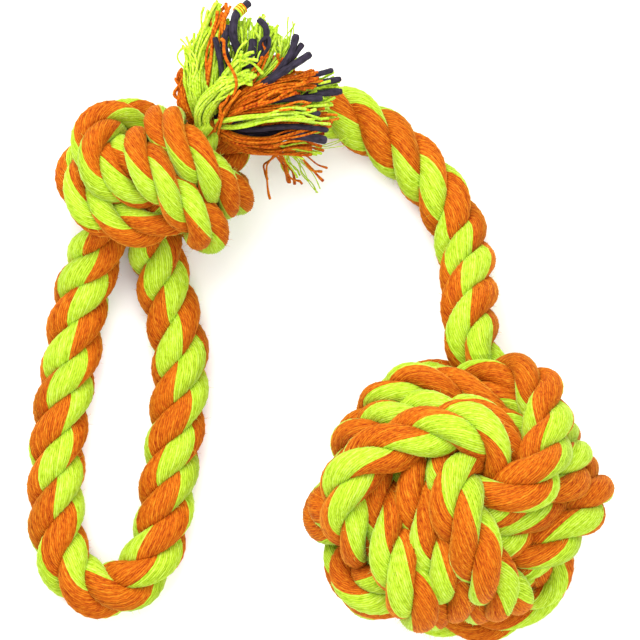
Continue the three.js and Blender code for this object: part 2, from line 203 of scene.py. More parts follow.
throw_ball_end = [(0.044, -0.010, 0.0285), (0.0432, -0.002, 0.0245), (0.043, 0.007, 0.0185)]
throw_rope = [
    (0.0425, 0.016, 0.012), (0.0405, 0.025, REST), (0.0365, 0.0335, REST), (0.0305, 0.0415, REST),
    (0.0235, 0.0485, REST), (0.015, 0.055, REST), (0.0065, 0.0595, REST)]
throw_knot_end = [(-0.0025, 0.0615, REST), (-0.011, 0.060, 0.008), (-0.019, 0.0555, 0.011)]
first_pass = [
    (-0.0265, 0.0475, 0.0165), (-0.0315, 0.039, 0.0195), (-0.037, 0.0315, 0.0215), (-0.0435, 0.0275, 0.024),
    (-0.0515, 0.0265, 0.026), (-0.060, 0.029, 0.026), (-0.066, 0.035, 0.024), (-0.0685, 0.043, 0.0205),
    (-0.066, 0.0495, 0.0135), (-0.060, 0.0485, 0.0075), (-0.051, 0.041, 0.0065), (-0.0425, 0.032, 0.007),
    (-0.037, 0.0255, 0.012), (-0.0365, 0.0235, 0.0215), (-0.0395, 0.029, 0.030), (-0.044, 0.038, 0.034),
    (-0.0475, 0.045, 0.033), (-0.0505, 0.051, 0.028), (-0.052, 0.052, 0.0205), (-0.053, 0.0465, 0.0155),
    (-0.056, 0.038, 0.0155)]
loop_left_leg = [
    (-0.0605, 0.029, 0.014), (-0.0632, 0.021, 0.011), (-0.0663, 0.0135, 0.008), (-0.0693, 0.0015, REST)]
hand_loop = [
    (-0.071, -0.0105, REST), (-0.0735, -0.0225, REST), (-0.075, -0.034, REST), (-0.0755, -0.047, REST),
    (-0.0755, -0.058, REST), (-0.0738, -0.068, REST), (-0.0688, -0.0755, REST), (-0.0613, -0.0782, REST),
    (-0.0537, -0.0755, REST), (-0.048, -0.068, REST), (-0.0448, -0.058, REST), (-0.0433, -0.046, REST),
    (-0.0415, -0.034, REST), (-0.0402, -0.022, REST)]
loop_right_leg = [
    (-0.040, -0.009, REST), (-0.0425, 0.0025, REST), (-0.0453, 0.013, 0.008), (-0.0468, 0.021, 0.011),
    (-0.048, 0.029, 0.014)]
second_pass = [
    (-0.048, 0.038, 0.0165), (-0.047, 0.0475, 0.0175), (-0.046, 0.055, 0.0185), (-0.044, 0.059, 0.024),
    (-0.0405, 0.056, 0.030), (-0.0365, 0.0485, 0.033), (-0.032, 0.041, 0.033), (-0.029, 0.035, 0.0285),
    (-0.0275, 0.033, 0.0195), (-0.0295, 0.0375, 0.0085), (-0.035, 0.0455, 0.0065), (-0.0425, 0.055, 0.0065),
    (-0.050, 0.0605, 0.0105), (-0.0565, 0.0605, 0.0205), (-0.062, 0.056, 0.028), (-0.0645, 0.0485, 0.031),
    (-0.0625, 0.040, 0.033), (-0.057, 0.035, 0.0335), (-0.0505, 0.0335, 0.0315), (-0.044, 0.036, 0.026),
    (-0.0395, 0.041, 0.0225), (-0.036, 0.047, 0.0215)]
tail = [(-0.033, 0.053, 0.029), (-0.030, 0.057, 0.033)]


def unit(vectors):
    """The same directions at length 1."""
    return vectors / np.linalg.norm(vectors, axis=-1, keepdims=True)


def run_along(path):
    """The length along a path of points, from its first point to each."""
    return np.concatenate(([0], np.cumsum(np.linalg.norm(np.diff(path, axis=0), axis=1))))


def band_poles():
    """The poles of the ball's three bands: each band passes over its own pole and under the next band."""
    corner = unit(np.array(BALL_CORNER))
    across = unit(np.array((1.0, 0, 0)) - corner * corner[0])
    up = np.cross(corner, across)
    poles = []
    for third in (1, 0, 2):
        angle = CORNER_TURN + third * 2 * math.pi / 3
        side = across * math.cos(angle) + up * math.sin(angle)
        poles.append(corner * math.sqrt(1 / 3) + side * math.sqrt(2 / 3))
    return poles


def squared(value):
    """A sine or cosine of a turn that is drawn from a circle towards a square with round corners."""
    return np.sign(value) * np.abs(value) ** OVAL_POWER


def band_route(outer, inner, width, quarters, offsets):
    """An oval round two poles that moves along the band's width as it goes round."""
    steps = round(abs(quarters[1] - quarters[0]) * STEPS_PER_QUARTER)
    share = np.linspace(0, 1, steps + 1)[:, None]
    angle = (quarters[0] + (quarters[1] - quarters[0]) * share) * math.pi / 2
    along = TURN_PITCH * (offsets[0] + (offsets[1] - offsets[0]) * share)
    drawn_in = (ROUNDING * along) ** 2
    over = outer * np.sqrt(OUTER_REACH ** 2 - drawn_in) * squared(np.cos(angle))
    under = inner * np.sqrt(INNER_REACH ** 2 - drawn_in) * squared(np.sin(angle))
    return BALL_CENTRE + BALL_SHAPE * (over + under + width * along)


def smooth_curve(control, span, share):
    """A point of the centripetal curve through the control points, at a share of one span."""
    p1, p2 = control[span], control[span + 1]
    p0 = control[span - 1] if span > 0 else 2 * p1 - p2
    p3 = control[span + 2] if span + 2 < len(control) else 2 * p2 - p1
    d0, d1, d2 = (math.sqrt(np.linalg.norm(b - a)) for a, b in ((p0, p1), (p1, p2), (p2, p3)))
    t1 = ((p1 - p0) / d0 - (p2 - p0) / (d0 + d1) + (p2 - p1) / d1) * d1
    t2 = ((p2 - p1) / d1 - (p3 - p1) / (d1 + d2) + (p3 - p2) / d2) * d1
    return (p1 + t1 * share + (3 * (p2 - p1) - 2 * t1 - t2) * share ** 2
            + (2 * (p1 - p2) + t1 + t2) * share ** 3)


def settle(points, radius, draw, on_core):
    """Draws the loose points tight while the rope grows to full thickness, on the table and off the core."""
    loose = draw > 0
    first, second = np.triu_indices(len(points), NEIGHBOURS)
    keep = loose[first] | loose[second]
    first, second = first[keep], second[keep]
    touch = radius[first] + radius[second] + TURN_GAP
    lowest = 2 * radius * (0.5 - FLAT_SHARE)
    for turn in range(SETTLING_ROUNDS):
        if turn % PAIR_REFRESH == 0:
            near = np.linalg.norm(points[second] - points[first], axis=1) < touch + PAIR_REACH
            a, b, full = first[near], second[near], touch[near]
            share = np.where(loose[a] & loose[b], 0.5, 1.0)
        arc = run_along(points)
        pull = draw if turn < LAST_DRAW_FROM * SETTLING_ROUNDS else LAST_DRAW_SHARE * draw
        middle = (points[:-2] + points[2:]) / 2
        points[1:-1] += pull[1:-1, None] * (middle - points[1:-1])
        growing = (1 - FIRST_THICKNESS) * turn / (FULL_THICKNESS_AT * SETTLING_ROUNDS)
        need = full * min(1, FIRST_THICKNESS + growing)
        # Points of one tight bend may lie as close as the bend brings them
        run = arc[b] - arc[a]
        bent = np.minimum(run, (b - a) * POINT_STEP) / (2 * TIGHTEST_BEND)
        bend = np.minimum(need, BEND_SLACK * 2 * TIGHTEST_BEND * np.sin(bent))
        need = np.where(run > math.pi * TIGHTEST_BEND, need, bend)
        for _ in range(CONTACT_PASSES):
            apart = points[b] - points[a]
            distance = np.linalg.norm(apart, axis=1)
            hit = need > distance
            push = apart[hit] * (share * (need - distance) / distance)[hit, None]
            move = np.zeros_like(points)
            np.add.at(move, a[hit], -push)
            np.add.at(move, b[hit], push)
            hits = np.bincount(np.concatenate((a[hit], b[hit])), minlength=len(points))
            points += np.where(loose[:, None], move / np.maximum(1, 0.5 * hits)[:, None], 0)
            points[:, 2] = np.where(loose, np.maximum(points[:, 2], lowest), points[:, 2])
            out = points - BALL_CENTRE
            reach = np.linalg.norm(out, axis=1)
            pressed = on_core & (reach < INNER_REACH)
            points[pressed] = BALL_CENTRE + out[pressed] * (INNER_REACH / reach[pressed])[:, None]
    return points


def smoothed(values, rounds):
    """Values along the rope, each moved halfway to the mean of its neighbours, for a number of rounds."""
    for _ in range(rounds):
        values[1:-1] += 0.5 * ((values[:-2] + values[2:]) / 2 - values[1:-1])
    return values


pole_a, pole_b, pole_c = band_poles()
first_band = band_route(pole_a, pole_b, pole_c, quarters=(-1, 10.4), offsets=(1.3, -1.25))
second_band = band_route(pole_b, pole_c, pole_a, quarters=(2.4, -9), offsets=(-1.25, 1.3))
third_band = band_route(pole_c, pole_a, pole_b, quarters=(1.8, 13.3), offsets=(-1.3, 1.15))
# The rope at the end of a stretch: its CAD diameter, and its diameter and lay as it looks
ball = (BALL_ROPE, BALL_LOOK, BALL_LAY)
free = (ROPE, ROPE, ROPE_LAY)
knot = (KNOT_ROPE, KNOT_LOOK, KNOT_LAY)
unlaid = (KNOT_ROPE, UNLAID_LOOK, KNOT_LAY)
# Each stretch: its name, its route, the rope at its two ends, and how hard it is drawn tight
stretches = [
    ("ball_first_band", first_band, ball, ball, BALL_DRAW),
    ("ball_second_band", second_band, ball, ball, BALL_DRAW),
    ("ball_third_band", third_band, ball, ball, BALL_DRAW),
    ("throw_ball_end", np.array(throw_ball_end), ball, free, 0),
    ("throw_rope", np.array(throw_rope), free, free, 0),
    ("throw_knot_end", np.array(throw_knot_end), free, knot, 0),
    ("knot_first_pass", np.array(first_pass), knot, knot, KNOT_DRAW),
    ("loop_left_leg", np.array(loop_left_leg), knot, free, 0),
    ("hand_loop", np.array(hand_loop), free, free, 0),
    ("loop_right_leg", np.array(loop_right_leg), free, knot, 0),
    ("knot_second_pass", np.array(second_pass), knot, knot, KNOT_DRAW),
    ("tail", np.array(tail), knot, unlaid, 0),
]
control = np.concatenate([stretch[1] for stretch in stretches])
points, owner, values = [], [], []
span = 0
for number, (_, route, at_start, at_end, _) in enumerate(stretches):
    own = []
    for _ in route:
        last = min(span + 1, len(control) - 1)
        count = max(1, math.floor(np.linalg.norm(control[last] - control[span]) / POINT_STEP + 0.5))
        for k in range(count):
            own.append(smooth_curve(control, span, k / count) if span < last else control[span])
        span += 1
    # The rope swells to its free thickness just outside a knot and narrows again just before the next
    share = np.arange(len(own)) * POINT_STEP / TAPER
    if at_end is free:
        share = np.clip(share, 0, 1)
    else:
        share = 1 - np.clip(share[::-1], 0, 1)
    share = (share * share * (3 - 2 * share))[:, None]
    values.append(np.array(at_start) * (1 - share) + np.array(at_end) * share)
    points += own
    owner += [number] * len(own)
owner = np.array(owner)
values = np.concatenate(values)
wound = owner < 3  # the ball's three bands
draw = np.array([stretch[4] for stretch in stretches])[owner]
course = settle(np.array(points), values[:, 0] / 2, draw, wound)

# The course at close, even steps, so that each stretch starts and ends on a step
arc = run_along(course)
starts = [int(np.argmax(owner == i)) for i in range(len(stretches))] + [len(course) - 1]
steps, borders = [], [0]
for a, b in zip(starts[:-1], starts[1:]):
    count = max(2, round((arc[b] - arc[a]) / RING_STEP))
    steps.append(np.linspace(arc[a], arc[b], count, endpoint=False))
    borders.append(borders[-1] + count)
steps = np.append(np.concatenate(steps), arc[-1])
spans = {stretch[0]: (borders[i], borders[i + 1]) for i, stretch in enumerate(stretches)}
slope = np.gradient(course, arc, axis=0)
left = np.clip(np.searchsorted(arc, steps, side="right") - 1, 0, len(arc) - 2)
width = (arc[left + 1] - arc[left])[:, None]
share = ((steps - arc[left])[:, None]) / width
line = ((1 + 2 * share) * (1 - share) ** 2 * course[left] + share * (1 - share) ** 2 * width * slope[left]
        + share ** 2 * (3 - 2 * share) * course[left + 1]
        + share ** 2 * (share - 1) * width * slope[left + 1])
line = smoothed(line, LINE_SMOOTHING)
look = smoothed(np.stack([np.interp(steps, arc, values[:, k]) for k in (1, 2)], axis=1), LOOK_SMOOTHING)
in_ball = smoothed(np.interp(steps, arc, np.where(wound, 1.0, 0.0)), LOOK_SMOOTHING)

# Directions across the rope that turn with it as little as they can, and the turns of its lay
heading = unit(np.gradient(line, axis=0))
side = np.zeros_like(line)
side[0] = unit(np.cross(heading[0], (0.3, 0.2, 0.9)))
for i in range(1, len(line)):
    leaned = side[i - 1] - heading[i] * side[i - 1].dot(heading[i])
    side[i] = leaned / np.linalg.norm(leaned)
over = np.cross(heading, side)
run = run_along(line)
lays = np.cumsum(np.diff(run) / ((look[1:, 1] + look[:-1, 1]) / 2))
turns = 2 * math.pi * (START_TURN + np.concatenate(([0], lays)))

# Strands: three to the rope. Each is spun of 32 cotton yarns, 14 of them lime and 18 orange. It is twisted
# against the lay, so that the yarns run along the rope on its crowns, and pressed a little flat in the ball
# and on the table. Its reach and radius are shares of the rope's diameter.
STRANDS = 3
YARNS = 32
LIME_YARNS = 14
COLUMNS = 2 * YARNS
STRAND_REACH = 0.264
STRAND_RADIUS = 0.240
STRAND_SWELL = 0.02
SWELL_STEPS = 12
STRAND_PHASE = (0.25, 0.31, 0.74)
YARN_TWIST = 2.207
BALL_YARN_TWIST = 2.08
YARN_RIDGE = 0.00012
YARN_UNEVENNESS = 0.00006
BALL_WIDENING = 0.07
BALL_FLATTENING = 0.10
PRESSED_HEIGHT = 0.0012
twist = YARN_TWIST + (BALL_YARN_TWIST - YARN_TWIST) * in_ball
yarn_turns = np.concatenate(([0], np.cumsum(np.diff(turns) * (twist[1:] + twist[:-1]) / 2)))


def wander(length, reach, seed):
    """A slow random wave along the rope, about 1 high, that changes over a reach of steps."""
    knots = np.random.default_rng(seed).normal(size=length // reach + 3)
    return np.interp(np.arange(length) / reach, np.arange(len(knots)), knots)


def strand_points(strand):
    """The rings of one strand over the whole rope, with two columns to a yarn, its groove and its ridge."""
    diameter = look[:, 0]
    angle = turns + strand * 2 * math.pi / STRANDS
    out = side * np.cos(angle)[:, None] + over * np.sin(angle)[:, None]
    swell = 1 + STRAND_SWELL * wander(len(line), SWELL_STEPS, 10 + strand)
    middle = out * (STRAND_REACH * diameter)[:, None]
    along = unit(np.gradient(line + middle, axis=0))
    out = unit(out - along * np.sum(out * along, axis=1)[:, None])
    across = np.cross(along, out)
    yarn = 2 * math.pi * np.arange(COLUMNS) / COLUMNS
    place = yarn[None, :] - yarn_turns[:, None]
    ridge = np.where(np.arange(COLUMNS) % 2, YARN_RIDGE, -YARN_RIDGE)
    radius = (STRAND_RADIUS * diameter * swell)[:, None] + ridge
    radius = radius + YARN_UNEVENNESS * np.random.default_rng(40 + strand).normal(size=COLUMNS)[None, :]
    offset = (middle[:, None, :] + out[:, None, :] * (radius * np.cos(place))[..., None]
              + across[:, None, :] * (radius * np.sin(place))[..., None])
    # In the ball the rope is pressed flat against the core and is wider to its sides
    away = line - BALL_CENTRE
    away = unit(away - heading * np.sum(away * heading, axis=1)[:, None])
    beside = np.cross(heading, away)
    wider = BALL_WIDENING * in_ball[:, None] * np.einsum("ijk,ik->ij", offset, beside)
    thinner = -BALL_FLATTENING * in_ball[:, None] * np.einsum("ijk,ik->ij", offset, away)
    offset = offset + wider[..., None] * beside[:, None, :] + thinner[..., None] * away[:, None, :]
    found = line[:, None, :] + offset
    # On the table it is pressed flat
    height = found[..., 2]
    pressed = PRESSED_HEIGHT * np.exp((np.minimum(height, PRESSED_HEIGHT) - PRESSED_HEIGHT) / PRESSED_HEIGHT)
    found[..., 2] = np.where(height < PRESSED_HEIGHT, pressed, height)
    return found


strands = [strand_points(k) for k in range(STRANDS)]

# Cotton yarn: spun, plied, dyed lime or orange, and soft. To the eye it is matt, pale with fibres where it
# turns away, and uneven from yarn to yarn and along each one; the shade in the grooves between yarns is
# painted into its colour. Real fibres are too fine to show, so they are drawn as streaks about a millimetre
# long.
LIME = ("82A202", "B3D32E", "C6E262")
ORANGE = ("861E00", "C25E08", "D8881E")
TONES = (0, 0.5, 1)
# Pale tints: the colour of the yarn's sheen, and painted glow in the loose fibres' colour
LIME_SHEEN_AND_GLOW = "E9FF9A"
ORANGE_SHEEN_AND_GLOW = "FFBE46"
MOTTLE_LENGTH = 0.005
FIBRE_LENGTH = 0.010 / 9
FIBRES_PER_YARN = 1.9
PLIES = 2
PLY_TWIST = 0.00241
TONE_START = -1.0
SHADE_SHARE = 0.3
MOTTLE_SHARE = 0.6
FIBRE_SHARE = 2.1
GROOVE_WIDTH = 0.3
RELIEF_DEPTH = 0.0002


def orange_yarns(tree, place):
    """1 on the orange yarns of a strand and 0 on its lime ones, by the place in turns round the strand."""
    way_round = node(tree, "ShaderNodeMath", {"operation": "FRACT"}, {0: place.outputs[0]})
    return node(tree, "ShaderNodeMath", {"operation": "GREATER_THAN", 1: LIME_YARNS / YARNS},
                {0: way_round.outputs[0]})


def cotton_yarn(name, painted_groove_shade, ply_share):
    """Dyed cotton yarn. Its texture places count turns round a strand of 32 yarns, and metres along it."""
    made, tree = material(name)
    coat = node(tree, "ShaderNodeUVMap", {"uv_map": "yarns"})
    place = node(tree, "ShaderNodeSeparateXYZ", links={0: coat.outputs[0]})
    yarn_place = node(tree, "ShaderNodeMath", {"operation": "MULTIPLY", 1: float(YARNS)},
                      {0: place.outputs[0]})
    yarn_number = node(tree, "ShaderNodeMath", {"operation": "FLOOR"}, {0: yarn_place.outputs[0]})
    own_shade = node(tree, "ShaderNodeTexWhiteNoise", {"noise_dimensions": "1D"},
                     {"W": yarn_number.outputs[0]})
    # The dye varies along each yarn
    lengthwise = node(tree, "ShaderNodeVectorMath",
                      {"operation": "MULTIPLY", 1: (float(YARNS), 1 / MOTTLE_LENGTH, 1.0)},
                      {0: coat.outputs[0]})
    mottle = node(tree, "ShaderNodeTexNoise", {"Scale": 1.0, "Detail": 2.0},
                  {"Vector": lengthwise.outputs[0]})
    fibre_place = node(tree, "ShaderNodeVectorMath",
                       {"operation": "MULTIPLY", 1: (FIBRES_PER_YARN * YARNS, 1 / FIBRE_LENGTH, 1.0)},
                       {0: coat.outputs[0]})
    fibres = node(tree, "ShaderNodeTexNoise", {"Scale": 1.0, "Detail": 3.0, "Roughness": 0.7},
                  {"Vector": fibre_place.outputs[0]})
    # The plies of a yarn show as slanting lines
    ply_turns = node(tree, "ShaderNodeMath", {"operation": "MULTIPLY_ADD", 1: PLIES / PLY_TWIST},
                     {0: place.outputs[1], 2: yarn_place.outputs[0]})
    ply_angle = node(tree, "ShaderNodeMath", {"operation": "MULTIPLY", 1: 2 * math.pi},
                     {0: ply_turns.outputs[0]})
    ply = node(tree, "ShaderNodeMath", {"operation": "SINE"}, {0: ply_angle.outputs[0]})
    tone = node(tree, "ShaderNodeMath", {"operation": "MULTIPLY_ADD", 1: SHADE_SHARE, 2: TONE_START},
                {0: own_shade.outputs[0]})
    for value, share in ((mottle, MOTTLE_SHARE), (fibres, FIBRE_SHARE), (ply, ply_share)):
        tone = node(tree, "ShaderNodeMath", {"operation": "MULTIPLY_ADD", 1: share},
                    {0: value.outputs[0], 2: tone.outputs[0]})
    is_orange = orange_yarns(tree, place)
    lime = node(tree, "ShaderNodeValToRGB", links={0: tone.outputs[0]}, stops=list(zip(TONES, LIME)))
    orange = node(tree, "ShaderNodeValToRGB", links={0: tone.outputs[0]}, stops=list(zip(TONES, ORANGE)))
    dye = node(tree, "ShaderNodeMix", {"data_type": "RGBA"},
               {0: is_orange.outputs[0], 6: lime.outputs[0], 7: orange.outputs[0]})
    # Painted shade: the dye is darkened towards the grooves between yarns, where shade falls
    from_groove = node(tree, "ShaderNodeMath", {"operation": "PINGPONG", 1: 0.5}, {0: yarn_place.outputs[0]})
    groove = node(tree, "ShaderNodeMapRange", {
        "interpolation_type": "SMOOTHSTEP", "From Min": 0.0, "From Max": GROOVE_WIDTH,
        "To Min": painted_groove_shade, "To Max": 1.0}, {0: from_groove.outputs[0]})
    groove_shaded_dye = node(tree, "ShaderNodeVectorMath", {"operation": "SCALE"},
                 {0: dye.outputs[2], "Scale": groove.outputs[0]})
    height = node(tree, "ShaderNodeMath", {"operation": "MULTIPLY_ADD", 1: 0.6},
                  {0: groove.outputs[0], 2: fibres.outputs[0]})
    relief = node(tree, "ShaderNodeBump", {"Strength": 0.7, "Distance": RELIEF_DEPTH},
                  {"Height": height.outputs[0]})
    bloom = node(tree, "ShaderNodeMix",
                 {"data_type": "RGBA", 6: linear(LIME_SHEEN_AND_GLOW), 7: linear(ORANGE_SHEEN_AND_GLOW)},
                 {0: is_orange.outputs[0]})
    shader = node(tree, "ShaderNodeBsdfPrincipled", {
        "Roughness": 0.75, "Specular IOR Level": 0.1, "Sheen Weight": 0.6, "Sheen Roughness": 0.3},
        {"Base Color": groove_shaded_dye.outputs[0], "Normal": relief.outputs[0], "Sheen Tint": bloom.outputs[2]})
    node(tree, "ShaderNodeOutputMaterial", links={0: shader.outputs[0]})
    return made


laid_cotton = cotton_yarn("laid_cotton_yarn", painted_groove_shade=0.66, ply_share=0.05)

# Fluff: loose ends of cotton fibres that stand out of the spun yarns. They are so fine that light comes
# through them, and the eye takes them for a soft pale edge; part of that pale edge is painted glow, a pale
# tint in their colour. They are drawn about four times as thick as they are, because they wouldn't show
# otherwise.
HAIRS_PER_METRE = 24000
HAIR_RADIUS = 0.00004
HAIR_TIP_SHARE = 0.8
HAIR_LENGTHS = (3.0, 0.00034)
LONGEST_HAIR = 0.0026
HAIR_BEND_AT = 0.55
HAIR_ROOT = 0.00015
HAIR_LEAN = 0.55
HAIR_CURL = 0.6
HAIR_OUTWARD = 0.55
LOWEST_HAIR = 0.0001
HAIR_SHADE_LENGTH = 0.010 / 3
fluff, tree = material("loose_cotton_fibres")
coat = node(tree, "ShaderNodeUVMap", {"uv_map": "yarns"})
place = node(tree, "ShaderNodeSeparateXYZ", links={0: coat.outputs[0]})
spots = node(tree, "ShaderNodeTexNoise", {"Scale": 1 / HAIR_SHADE_LENGTH, "Detail": 1.0},
             {"Vector": coat.outputs[0]})
# Painted glow: each hair's colour lies between the yarn's dye and a pale tint that stands in for light
# through the fibres
lime = node(tree, "ShaderNodeValToRGB", links={0: spots.outputs[0]},
            stops=((0, LIME[1]), (1, LIME_SHEEN_AND_GLOW)))
orange = node(tree, "ShaderNodeValToRGB", links={0: spots.outputs[0]},
              stops=((0, ORANGE[1]), (1, ORANGE_SHEEN_AND_GLOW)))
dye = node(tree, "ShaderNodeMix", {"data_type": "RGBA"},
           {0: orange_yarns(tree, place).outputs[0], 6: lime.outputs[0], 7: orange.outputs[0]})
face = node(tree, "ShaderNodeBsdfPrincipled", {"Roughness": 0.8, "Specular IOR Level": 0.1},
            {"Base Color": dye.outputs[2]})
glow = node(tree, "ShaderNodeBsdfTranslucent", links={0: dye.outputs[2]})
both = node(tree, "ShaderNodeMixShader", {0: 0.5}, {1: face.outputs[0], 2: glow.outputs[0]})
node(tree, "ShaderNodeOutputMaterial", links={0: both.outputs[0]})


def fuzz(first, last, base):
    """Loose fibres on the rope between two steps: closed hairs of three sides that end in a point. Their
    points are numbered from a base."""
    count = round((run[last] - run[first]) * HAIRS_PER_METRE)
    chance = np.random.default_rng(first)
    strand = chance.integers(STRANDS, size=count)
    ring = chance.integers(first, last, size=count)
    column = chance.integers(COLUMNS, size=count)
    every = np.stack(strands)
    root = every[strand, ring, column]
    middle = every.mean(axis=2)[strand, ring]
    out = unit(root - middle)
    outward = np.sum(out * unit(root - line[ring]), axis=1) > HAIR_OUTWARD
    strand, ring, column, root, out = (v[outward] for v in (strand, ring, column, root, out))
    count = len(root)
    lean = unit(out + chance.normal(scale=HAIR_LEAN, size=(count, 3)))
    curl = unit(lean + chance.normal(scale=HAIR_CURL, size=(count, 3)))
    length = np.minimum(chance.gamma(*HAIR_LENGTHS, size=count), LONGEST_HAIR)[:, None]
    root = root - out * HAIR_ROOT
    bend = root + lean * length * HAIR_BEND_AT
    tip = bend + curl * length * (1 - HAIR_BEND_AT)
    beside = unit(np.cross(lean, chance.normal(size=(count, 3))))
    above = np.cross(lean, beside)
    corners = []
    for angle in (0, 2 * math.pi / 3, 4 * math.pi / 3):
        corners.append(beside * math.cos(angle) + above * math.sin(angle))
    low_ring = [root + corner * HAIR_RADIUS for corner in corners]
    high_ring = [bend + corner * HAIR_RADIUS * HAIR_TIP_SHARE for corner in corners]
    points = np.stack(low_ring + high_ring + [tip], axis=1)
    points[..., 2] = np.maximum(points[..., 2], LOWEST_HAIR)
    start = base + 7 * np.arange(count)[:, None]
    quads = np.concatenate([start + np.array([[k, (k + 1) % 3, 3 + (k + 1) % 3, 3 + k]]) for k in range(3)])
    triangles = np.concatenate(
        [start + np.array([[3 + k, 3 + (k + 1) % 3, 6]]) for k in range(3)] + [start + np.array([[2, 1, 0]])])
    u = column / COLUMNS + strand + np.array(STRAND_PHASE)[strand] + 0.5 / YARNS
    coat = np.stack((u, run[ring]), axis=-1)[:, None, :]
    return points.reshape(-1, 3), quads, triangles, np.tile(coat, (3, 4, 1)), np.tile(coat, (4, 3, 1))


def joined(parts):
    """Meshes of points, quads and texture places as one."""
    starts = np.cumsum([0] + [len(part[0]) for part in parts])
    quads = np.concatenate([part[1] + start for part, start in zip(parts, starts)])
    return np.concatenate([part[0] for part in parts]), quads, np.concatenate([part[2] for part in parts])


def tube_faces(rings, columns):
    """The quads of a closed tube with an even number of columns, as the ring and column of each corner."""
    i, j = (v.ravel() for v in np.meshgrid(np.arange(rings - 1), np.arange(columns), indexing="ij"))
    k = np.arange(columns // 2 - 1)
    end = np.stack((k, columns - 1 - k, columns - 2 - k, k + 1), axis=-1)
    ring = np.concatenate((np.stack((i, i, i + 1, i + 1), axis=-1), 0 * end, 0 * end + rings - 1))
    column = np.concatenate((np.stack((j, j + 1, j + 1, j), axis=-1), end, end[:, ::-1]))
    return ring, column


def mesh_piece(name, body, surfaces, hairs=None):
    """A mesh of quads with a texture place to each corner, and of hairs of the second material, if any."""
    mesh = bpy.data.meshes.new(name)
    points, quads, coats = body
    # The face at the end of a strand lies at one length along it. Its rim is sharp, so that the next piece of
    # the rope goes on from it without a seam in the light.
    rim = np.zeros(len(points), bool)
    rim[quads[np.ptp(coats[..., 1], axis=1) == 0]] = True
    triangles = np.zeros((0, 3))
    coats = [coats.reshape(-1, 2)]
    body_quads = len(quads)
    if hairs:
        hair_points, hair_quads, triangles, quad_coats, triangle_coats = hairs
        points = np.concatenate((points, hair_points))
        rim = np.append(rim, np.zeros(len(hair_points), bool))
        quads = np.concatenate((quads, hair_quads))
        coats += [np.reshape(quad_coats, (-1, 2)), np.reshape(triangle_coats, (-1, 2))]
    corners = np.concatenate((np.ravel(quads), np.ravel(triangles))).astype(np.int32)
    starts = np.concatenate((np.arange(len(quads)) * 4, len(quads) * 4 + np.arange(len(triangles)) * 3))
    mesh.vertices.add(len(points))
    mesh.vertices.foreach_set("co", np.asarray(points, np.float32).ravel())
    mesh.loops.add(len(corners))
    mesh.loops.foreach_set("vertex_index", corners)
    mesh.polygons.add(len(starts))
    mesh.polygons.foreach_set("loop_start", starts.astype(np.int32))
    mesh.polygons.foreach_set("use_smooth", np.ones(len(starts), bool))
    mesh.polygons.foreach_set("material_index", (np.arange(len(starts)) >= body_quads).astype(np.int32))
    coats = np.concatenate(coats).astype(np.float32)
    mesh.uv_layers.new(name="yarns").uv.foreach_set("vector", coats.ravel())
    for surface in surfaces:
        mesh.materials.append(surface)
    mesh.update(calc_edges=True)
    edges = np.zeros(2 * len(mesh.edges), np.int32)
    mesh.edges.foreach_get("vertices", edges)
    mesh.edges.foreach_set("use_edge_sharp", rim[edges.reshape(-1, 2)].all(axis=1))
    made = bpy.data.objects.new(name, mesh)
    bpy.context.scene.collection.objects.link(made)
    return made


def rope_piece(name, first, last):
    """The strands of the rope between two steps of its course, as one mesh of closed strands with fuzz."""
    ring, column = tube_faces(last - first + 1, COLUMNS)
    quads = ring * COLUMNS + column % COLUMNS
    parts = []
    for number, strand in enumerate(strands):
        coats = np.stack((column / COLUMNS + number + STRAND_PHASE[number], run[first + ring]), axis=-1)
        parts.append((strand[first:last + 1].reshape(-1, 3), quads, coats))
    body = joined(parts)
    return mesh_piece(name, body, (laid_cotton, fluff), fuzz(first, last, len(body[0])))


# Ball core: a wad of cotton, rolled into a ball, that keeps the ball knot round. It is hidden, and nothing
# holds it but the turns of rope wound over it.
CORE_SWELL = 0.0003
WAD_FIBRE = 0.000076
core_radius = CORE_RADIUS + CORE_SWELL
bpy.ops.mesh.primitive_ico_sphere_add(subdivisions=4, radius=core_radius, location=BALL_CENTRE)
core = bpy.context.active_object
core.name = "core_wadding"
# Undyed cotton wadding: matted fibres, off-white, with no gloss at all
wadding, tree = material("undyed_cotton_wadding")
matting = node(tree, "ShaderNodeTexNoise", {"Scale": 2 * core_radius / WAD_FIBRE, "Detail": 5.0})
matted = node(tree, "ShaderNodeBump", {"Strength": 0.8, "Distance": 0.0006}, {"Height": matting.outputs[0]})
wad = node(tree, "ShaderNodeBsdfPrincipled", {"Base Color": linear("E6DFCF"), "Roughness": 0.95},
           {"Normal": matted.outputs[0]})
node(tree, "ShaderNodeOutputMaterial", links={0: wad.outputs[0]})
core.data.materials.append(wadding)
for face in core.data.polygons:
    face.use_smooth = True
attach(core, "ball")
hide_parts("ball_core")

# Ball knot: more than half of the rope, wound in three bands of three turns. Each band goes over one
# neighbour and under the other, and all are drawn tight on the core, turn by turn.
for name in ("ball_first_band", "ball_second_band", "ball_third_band"):
    band = rope_piece(name + "_rope", *spans[name])
    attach(band, "ball")
    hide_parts(name)

# Throw rope: the free rope between the ball and the knot, by which the toy is swung. It comes out between two
# turns of the ball's third band, lies on the table, and bends where it leaves the ball and enters the knot.
neck = rope_piece("throw_ball_end_rope", *spans["throw_ball_end"])
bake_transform(neck)
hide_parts("throw_ball_end")
thrown = rope_piece("throw_rope_rope", spans["throw_rope"][0], spans["throw_knot_end"][1])
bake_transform(thrown)
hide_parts("throw_rope", "throw_knot_end")

